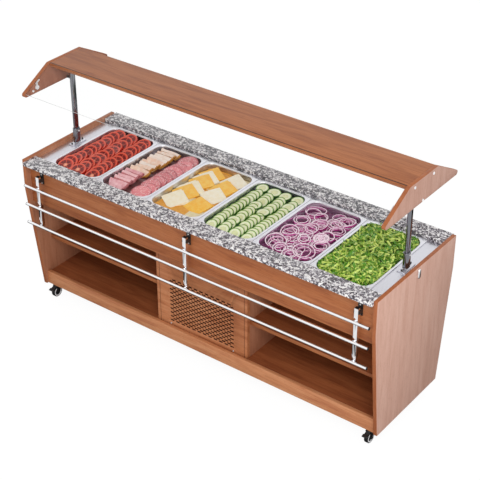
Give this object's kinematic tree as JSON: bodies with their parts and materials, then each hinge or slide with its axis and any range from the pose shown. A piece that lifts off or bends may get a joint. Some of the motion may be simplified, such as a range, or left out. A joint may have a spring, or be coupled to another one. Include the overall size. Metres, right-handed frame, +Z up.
{
  "type": "mobile salad bar",
  "caption": "Mobile refrigerated salad bar: wooden cabinet with granite ledges, food pans in a cold well, glass-sided hood on posts, folding tray slide and casters.",
  "frame": {"origin": "on the floor, under the centre of the bar's overall box", "axes": "+X along the bar to the customers' right, customers stand at -Y, +Z up"},
  "size_m": [2.18, 0.735, 1.354],
  "materials": {
    "cherry_board": "satin",
    "pale_side_board": "satin",
    "dark_inner_board": "satin",
    "granite": "gloss",
    "stainless": "satin",
    "insulation": "matte",
    "copper_tube": "satin",
    "chrome_tube": "polished",
    "guard_glass": "gloss",
    "black_plastic": "matte",
    "white_plastic": "gloss",
    "black_steel": "satin",
    "caster_tyre": "matte",
    "machine_shell": "satin",
    "fin_metal": "satin",
    "screw_steel": "satin",
    "tomato": "gloss",
    "cold_meat": "satin",
    "cheese": "satin",
    "cucumber": "gloss",
    "red_onion": "gloss",
    "lettuce": "matte"
  },
  "bodies": {
    "cabinet": {"side_panel_left": "pale_side_board", "side_panel_right": "pale_side_board", "front_fascia": "cherry_board", "rear_fascia": "cherry_board", "granite_front": "granite", "granite_rear": "granite", "well_deck": "stainless", "well_tank": "stainless", "tank_casing": "insulation", "pan_bars": "stainless", "cooling_coil": "copper_tube", "drain_pipe": "stainless", "bottom_shelf": "dark_inner_board", "plinth_boards": "cherry_board", "mid_shelves": "dark_inner_board", "partitions": "dark_inner_board", "grille_panel": "cherry_board", "rear_panel": "dark_inner_board", "screws": "screw_steel", "compressor": "machine_shell", "condenser": "fin_metal", "fan_motor": "machine_shell", "control_plate": "black_plastic", "posts": "chrome_tube", "post_sockets": "chrome_tube", "hood_board": "cherry_board", "gable_left": "cherry_board", "gable_right": "cherry_board", "glass_guards": "guard_glass", "glass_clips": "white_plastic", "tray_brackets": "black_steel", "caster_plates": "black_steel"},
    "tray_slide": {"tray_arms": "chrome_tube", "tray_rails": "chrome_tube", "tray_caps": "black_plastic"},
    "caster_front_left": {"caster_fork_front_left": "black_steel"},
    "wheel_front_left": {"caster_wheel_front_left": "caster_tyre"},
    "caster_front_right": {"caster_fork_front_right": "black_steel"},
    "wheel_front_right": {"caster_wheel_front_right": "caster_tyre"},
    "caster_rear_left": {"caster_fork_rear_left": "black_steel"},
    "wheel_rear_left": {"caster_wheel_rear_left": "caster_tyre"},
    "caster_rear_right": {"caster_fork_rear_right": "black_steel"},
    "wheel_rear_right": {"caster_wheel_rear_right": "caster_tyre"},
    "brake_left": {"brake_pedal_left": "black_steel"},
    "brake_right": {"brake_pedal_right": "black_steel"},
    "pan_1": {"pan_1": "stainless", "tomato_slices": "tomato"},
    "pan_2": {"pan_2": "stainless", "sliced_meats": "cold_meat"},
    "pan_3": {"pan_3": "stainless", "cheese_squares": "cheese"},
    "pan_4": {"pan_4": "stainless", "cucumber_slices": "cucumber"},
    "pan_5": {"pan_5": "stainless", "onion_rings": "red_onion"},
    "pan_6": {"pan_6": "stainless", "shredded_lettuce": "lettuce"},
    "fan": {"fan_blades": "fin_metal"},
    "thermostat": {"thermostat_knob": "black_plastic"},
    "rocker": {"rocker_switch": "black_plastic"}
  },
  "joints": [
    {"name": "tray_slide_swing", "type": "hinge", "parent": "cabinet", "child": "tray_slide", "pos_m": [0, -0.3375, 0.793], "axis": [-1, 0, 0], "range_deg": [0, 90]},
    {"name": "swivel_front_left", "type": "hinge", "parent": "cabinet", "child": "caster_front_left", "pos_m": [-1.021, -0.2085, 0.0825], "axis": [0, 0, 1], "continuous": true},
    {"name": "wheel_spin_front_left", "type": "hinge", "parent": "caster_front_left", "child": "wheel_front_left", "pos_m": [-1.021, -0.2365, 0.031], "axis": [1, 0, 0], "continuous": true},
    {"name": "swivel_front_right", "type": "hinge", "parent": "cabinet", "child": "caster_front_right", "pos_m": [1.021, -0.2085, 0.0825], "axis": [0, 0, 1], "continuous": true},
    {"name": "wheel_spin_front_right", "type": "hinge", "parent": "caster_front_right", "child": "wheel_front_right", "pos_m": [1.021, -0.2365, 0.031], "axis": [1, 0, 0], "continuous": true},
    {"name": "swivel_rear_left", "type": "hinge", "parent": "cabinet", "child": "caster_rear_left", "pos_m": [-1.021, 0.2195, 0.0825], "axis": [0, 0, 1], "continuous": true},
    {"name": "wheel_spin_rear_left", "type": "hinge", "parent": "caster_rear_left", "child": "wheel_rear_left", "pos_m": [-1.021, 0.2475, 0.031], "axis": [1, 0, 0], "continuous": true},
    {"name": "swivel_rear_right", "type": "hinge", "parent": "cabinet", "child": "caster_rear_right", "pos_m": [1.021, 0.2195, 0.0825], "axis": [0, 0, 1], "continuous": true},
    {"name": "wheel_spin_rear_right", "type": "hinge", "parent": "caster_rear_right", "child": "wheel_rear_right", "pos_m": [1.021, 0.2475, 0.031], "axis": [1, 0, 0], "continuous": true},
    {"name": "brake_press_left", "type": "hinge", "parent": "caster_front_left", "child": "brake_left", "pos_m": [-1.021, -0.2445, 0.0675], "axis": [1, 0, 0], "range_deg": [0, 12]},
    {"name": "brake_press_right", "type": "hinge", "parent": "caster_front_right", "child": "brake_right", "pos_m": [1.021, -0.2445, 0.0675], "axis": [1, 0, 0], "range_deg": [0, 12]},
    {"name": "pan_1_lift", "type": "slide", "parent": "cabinet", "child": "pan_1", "axis": [0, 0, 1], "range_m": [0, 0.2]},
    {"name": "pan_2_lift", "type": "slide", "parent": "cabinet", "child": "pan_2", "axis": [0, 0, 1], "range_m": [0, 0.2]},
    {"name": "pan_3_lift", "type": "slide", "parent": "cabinet", "child": "pan_3", "axis": [0, 0, 1], "range_m": [0, 0.2]},
    {"name": "pan_4_lift", "type": "slide", "parent": "cabinet", "child": "pan_4", "axis": [0, 0, 1], "range_m": [0, 0.2]},
    {"name": "pan_5_lift", "type": "slide", "parent": "cabinet", "child": "pan_5", "axis": [0, 0, 1], "range_m": [0, 0.2]},
    {"name": "pan_6_lift", "type": "slide", "parent": "cabinet", "child": "pan_6", "axis": [0, 0, 1], "range_m": [0, 0.2]},
    {"name": "fan_spin", "type": "hinge", "parent": "cabinet", "child": "fan", "pos_m": [0, -0.1025, 0.265], "axis": [0, 1, 0], "continuous": true},
    {"name": "thermostat_turn", "type": "hinge", "parent": "cabinet", "child": "thermostat", "pos_m": [-0.07, 0.3305, 0.75], "axis": [0, -1, 0], "range_deg": [0, 300]},
    {"name": "rocker_tip", "type": "hinge", "parent": "cabinet", "child": "rocker", "pos_m": [0, 0.3205, 0.75], "axis": [1, 0, 0], "range_deg": [0, 20]}
  ]
}
